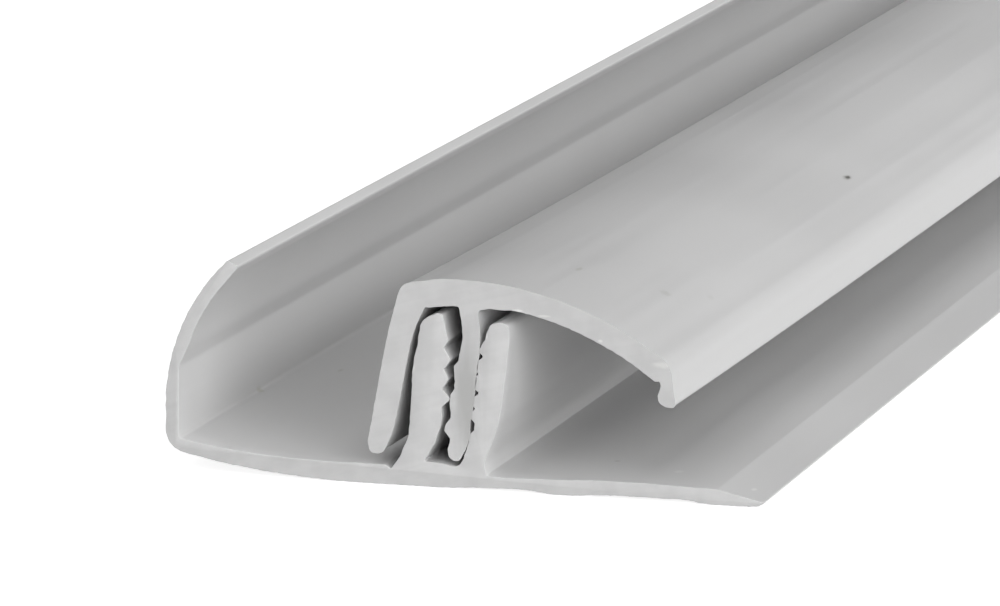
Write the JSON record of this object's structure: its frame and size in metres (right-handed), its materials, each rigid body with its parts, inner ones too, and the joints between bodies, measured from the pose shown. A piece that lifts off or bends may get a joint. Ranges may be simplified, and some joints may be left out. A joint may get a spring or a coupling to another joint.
{
  "type": "snap-in panelling trim",
  "caption": "Straight length of snap-in trim for thin PVC wall panelling: a base profile with a toothed slot holds a curved cover strip by its barbed tongue.",
  "frame": {"origin": "middle of the length and of the width, at the back face that bears on the wall", "axes": "+Y along the length, +X towards the flange that goes behind the panel, +Z away from the wall"},
  "size_m": [0.0406, 2.4, 0.0142],
  "materials": {
    "pvc": "satin"
  },
  "bodies": {
    "root": {"base_profile": "pvc", "cover_strip": "pvc"}
  },
  "joints": []
}
